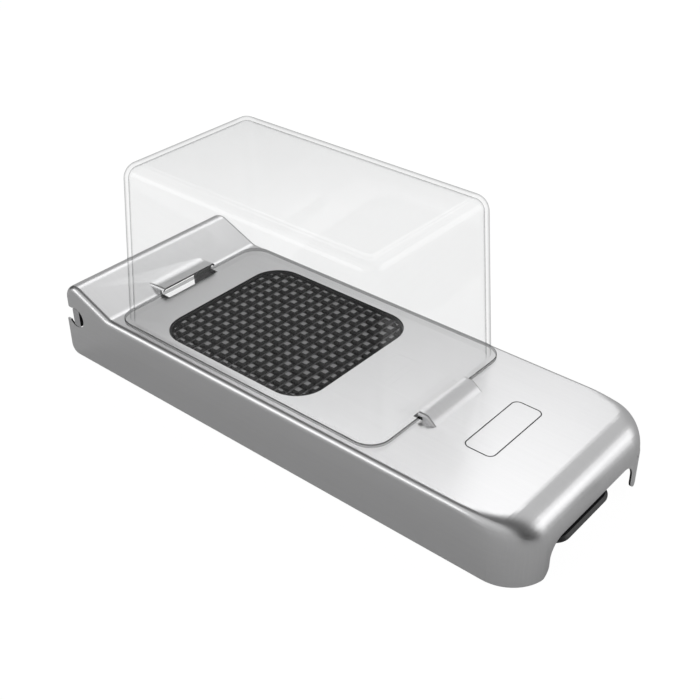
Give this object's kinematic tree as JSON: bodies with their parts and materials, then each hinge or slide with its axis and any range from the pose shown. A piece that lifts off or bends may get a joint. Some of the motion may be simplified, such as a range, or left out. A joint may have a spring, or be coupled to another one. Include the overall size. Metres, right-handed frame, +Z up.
{
  "type": "vegetable press chopper",
  "caption": "Hinged lever chopper: a brushed steel press arm with a blade grid and a clear box-shaped catcher closes over a black tray of pegs.",
  "frame": {"origin": "on the table, under the middle of the closed press arm's length and width", "axes": "+X along the arm from the hinge to the handle end, +Y across the arm to its left, +Z up"},
  "size_m": [0.2701, 0.103, 0.1127],
  "materials": {
    "shell_steel": "brushed along the arm",
    "frame_plastic": "black moulded",
    "bracket_steel": "plain sheet steel",
    "clear_plastic": "clear moulded, glossy",
    "tray_plastic": "black moulded",
    "peg_plastic": "dark grey moulded",
    "bar_steel": "drawn steel",
    "blade_steel": "thin ground strip",
    "foot_rubber": "black rubber"
  },
  "bodies": {
    "base": {"base_tray": "tray_plastic", "peg_block": "peg_plastic", "hinge_bar": "bar_steel", "foot_rear_right": "foot_rubber", "foot_rear_left": "foot_rubber", "foot_front_right": "foot_rubber", "foot_front_left": "foot_rubber"},
    "press_arm": {"top_shell": "shell_steel", "blade_frame_upper": "frame_plastic", "blade_frame_lower": "frame_plastic", "frame_brackets": "bracket_steel", "blade_long_01": "blade_steel", "blade_long_02": "blade_steel", "blade_long_03": "blade_steel", "blade_long_04": "blade_steel", "blade_long_05": "blade_steel", "blade_long_06": "blade_steel", "blade_long_07": "blade_steel", "blade_long_08": "blade_steel", "blade_long_09": "blade_steel", "blade_long_10": "blade_steel", "blade_long_11": "blade_steel", "blade_long_12": "blade_steel", "blade_long_13": "blade_steel", "blade_cross_01": "blade_steel", "blade_cross_02": "blade_steel", "blade_cross_03": "blade_steel", "blade_cross_04": "blade_steel", "blade_cross_05": "blade_steel", "blade_cross_06": "blade_steel", "blade_cross_07": "blade_steel", "blade_cross_08": "blade_steel", "blade_cross_09": "blade_steel", "blade_cross_10": "blade_steel", "blade_cross_11": "blade_steel", "blade_cross_12": "blade_steel", "blade_cross_13": "blade_steel", "blade_cross_14": "blade_steel", "blade_cross_15": "blade_steel"},
    "collector": {"catcher": "clear_plastic"}
  },
  "joints": [
    {"name": "arm_hinge", "type": "hinge", "parent": "base", "child": "press_arm", "pos_m": [-0.1279, 0, 0.0235], "axis": [0, -1, 0], "range_deg": [0, 90]},
    {"name": "catcher_shift", "type": "slide", "parent": "press_arm", "child": "collector", "axis": [-1, 0, 0], "range_m": [0, 0.0012]}
  ]
}
